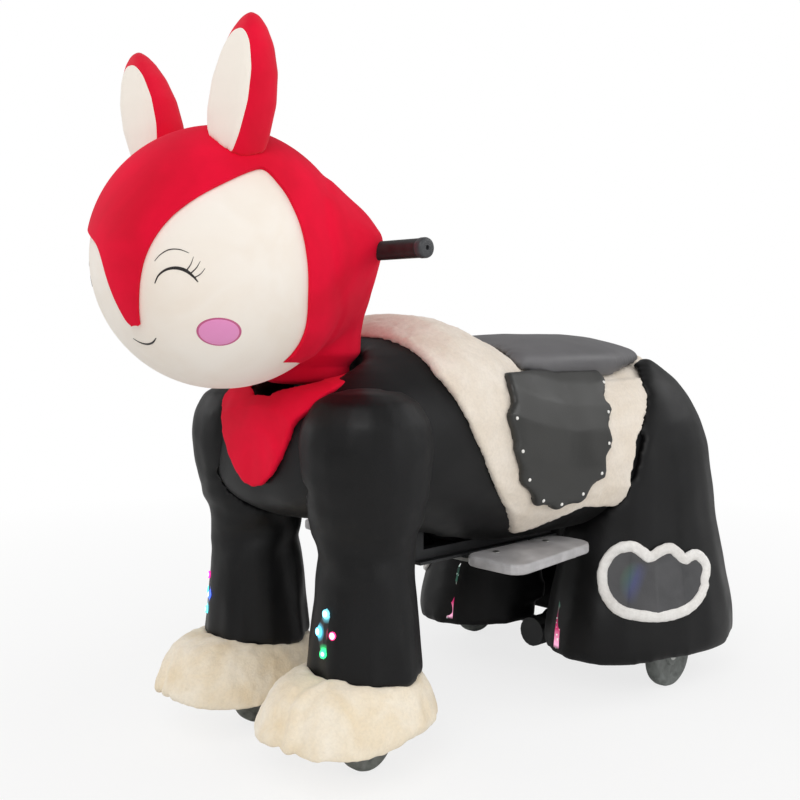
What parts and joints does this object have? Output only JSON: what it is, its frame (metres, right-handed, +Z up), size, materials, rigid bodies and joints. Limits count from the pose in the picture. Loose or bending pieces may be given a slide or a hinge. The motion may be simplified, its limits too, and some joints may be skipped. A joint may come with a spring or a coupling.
{
  "type": "plush ride on animal",
  "caption": "Battery-driven plush ride-on animal on a steel chassis, with a steered head and front wheels, handlebar grips, saddle, footrests and a driven rear axle.",
  "frame": {"origin": "on the floor, under the middle of the whole width and length", "axes": "+Z up, -Y the way the animal faces, +X its left side"},
  "size_m": [0.664, 1.3424, 1.145],
  "materials": {
    "red_plush": "short pile",
    "cream_plush": "short pile",
    "boot_plush": "long pile",
    "black_plush": "satin pile",
    "seat_leatherette": "satin",
    "panel_leatherette": "satin",
    "black_rubber": "matt",
    "grey_wheel": "matt",
    "grey_plastic": "matt",
    "black_plastic": "matt",
    "green_plastic": "gloss",
    "black_steel": "powder coat",
    "zinc_steel": "zinc plate",
    "plywood": "raw",
    "webbing": "woven",
    "light_lens": "clear"
  },
  "bodies": {
    "carriage": {"chassis_frame": "black_steel", "column_bush_lower": "black_plastic", "column_bush_upper": "black_plastic", "stem_bush_left": "black_plastic", "stem_bush_right": "black_plastic", "belly_plate": "black_plastic", "speaker": "black_plastic", "charge_socket": "black_plastic", "battery": "black_plastic", "battery_strap": "webbing", "controller_box": "grey_plastic", "seat_board": "plywood", "axle_bearing_left": "zinc_steel", "axle_bearing_right": "zinc_steel", "drive_motor": "black_steel", "torso": "black_plush", "saddle_pad": "cream_plush", "side_panel_left": "panel_leatherette", "side_panel_right": "panel_leatherette", "seat_cushion": "seat_leatherette", "bib": "red_plush", "front_leg_left": "black_plush", "front_leg_right": "black_plush", "boot_left": "boot_plush", "boot_right": "boot_plush", "hind_leg_left": "black_plush", "hind_leg_right": "black_plush", "paw_badge_left": "seat_leatherette", "paw_badge_right": "seat_leatherette", "light_strip_left": "light_lens", "light_strip_right": "light_lens", "leg_lights_left": "light_lens", "leg_lights_right": "light_lens", "footrest_left": "grey_plastic", "footrest_right": "grey_plastic", "footrest_bracket_left": "zinc_steel", "footrest_bracket_right": "zinc_steel"},
    "steering": {"steering_column": "black_steel", "handlebar": "black_steel", "grip_left": "black_rubber", "grip_right": "black_rubber", "switch_housing": "black_plastic", "head_board": "plywood", "head": "cream_plush", "hood": "red_plush", "ear_left": "red_plush", "ear_right": "red_plush"},
    "go_button_body": {"go_button": "green_plastic"},
    "tie_rod_body": {"tie_rod": "zinc_steel"},
    "fork_left_body": {"fork_left": "zinc_steel"},
    "fork_right_body": {"fork_right": "zinc_steel"},
    "front_wheel_left_body": {"front_wheel_left": "grey_wheel"},
    "front_wheel_right_body": {"front_wheel_right": "grey_wheel"},
    "rear_axle_body": {"rear_axle": "zinc_steel", "rear_wheel_left": "grey_wheel", "rear_wheel_right": "grey_wheel"},
    "power_switch_body": {"power_switch": "black_plastic"}
  },
  "joints": [
    {"name": "steering_turn", "type": "hinge", "parent": "carriage", "child": "steering", "pos_m": [0, -0.3022, 0.455], "axis": [0, 0, 1], "range_deg": [-28, 28]},
    {"name": "go_button_press", "type": "slide", "parent": "steering", "child": "go_button_body", "axis": [0, 0, -1], "range_m": [0, 0.003], "stiffness_N_per_m": 300, "springref_m": -0.001},
    {"name": "tie_rod_swing", "type": "hinge", "parent": "steering", "child": "tie_rod_body", "pos_m": [0, -0.2522, 0.4696], "axis": [0, 0, 1], "range_deg": [-28, 28]},
    {"name": "fork_turn_left", "type": "hinge", "parent": "carriage", "child": "fork_left_body", "pos_m": [0.146, -0.3022, 0.108], "axis": [0, 0, 1], "range_deg": [-28, 28]},
    {"name": "fork_turn_right", "type": "hinge", "parent": "carriage", "child": "fork_right_body", "pos_m": [-0.146, -0.3022, 0.108], "axis": [0, 0, 1], "range_deg": [-28, 28]},
    {"name": "front_wheel_spin_left", "type": "hinge", "parent": "fork_left_body", "child": "front_wheel_left_body", "pos_m": [0.146, -0.3022, 0.05], "axis": [1, 0, 0], "continuous": true},
    {"name": "front_wheel_spin_right", "type": "hinge", "parent": "fork_right_body", "child": "front_wheel_right_body", "pos_m": [-0.146, -0.3022, 0.05], "axis": [1, 0, 0], "continuous": true},
    {"name": "rear_axle_spin", "type": "hinge", "parent": "carriage", "child": "rear_axle_body", "pos_m": [0, 0.3978, 0.0625], "axis": [1, 0, 0], "continuous": true},
    {"name": "power_switch_rock", "type": "hinge", "parent": "carriage", "child": "power_switch_body", "pos_m": [-0.05, -0.1222, 0.3057], "axis": [1, 0, 0], "range_deg": [-7, 7]}
  ],
  "couplings": [
    {"joint": "tie_rod_swing", "follows": "steering_turn", "ratio": -1},
    {"joint": "fork_turn_left", "follows": "steering_turn", "ratio": 1},
    {"joint": "fork_turn_right", "follows": "steering_turn", "ratio": 1}
  ]
}
